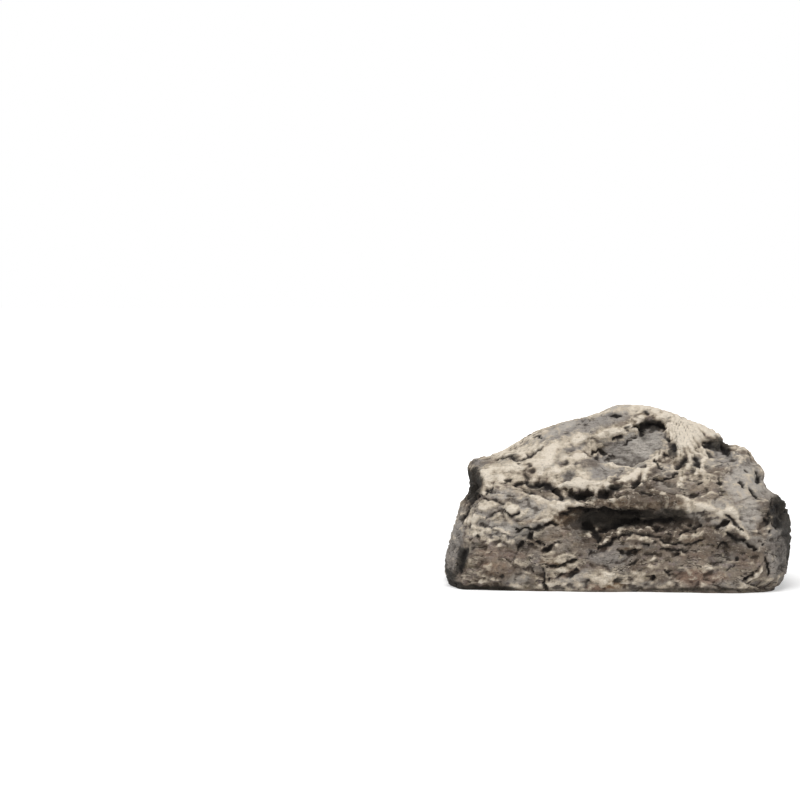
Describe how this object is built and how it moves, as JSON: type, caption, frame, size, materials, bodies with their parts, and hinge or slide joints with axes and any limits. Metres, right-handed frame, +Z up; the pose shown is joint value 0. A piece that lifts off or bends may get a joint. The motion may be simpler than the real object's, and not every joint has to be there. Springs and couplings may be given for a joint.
{
  "type": "hide a key rock",
  "caption": "Craggy imitation stone with a hidden key compartment in its flat base, closed by a ribbed sliding door.",
  "frame": {"origin": "middle of the flat base's plane, at the centre of the bounding box's floor", "axes": "+Z up from the base, +X along the long side, the way the door slides open, -Y out of the craggy front face"},
  "size_m": [0.0864, 0.0508, 0.0444],
  "materials": {
    "cast_stone": "rough cast resin stone, dry-brushed cream over dark crevices",
    "tray_plastic": "moulded black plastic, satin",
    "gasket_foam": "closed-cell foam",
    "pad_foam": "soft open foam",
    "frame_plastic": "moulded dark grey plastic, fine grain",
    "door_plastic": "moulded dark grey plastic, fine grain",
    "screw_steel": "zinc plated"
  },
  "bodies": {
    "rock": {"rock_shell": "cast_stone", "key_tray": "tray_plastic", "frame_gasket": "gasket_foam", "key_pad": "pad_foam", "door_frame": "frame_plastic", "frame_screws": "screw_steel"},
    "door": {"slide_door": "door_plastic"}
  },
  "joints": [
    {"name": "door_slide", "type": "slide", "parent": "rock", "child": "door", "axis": [1, 0, 0], "range_m": [0, 0.0655]}
  ]
}
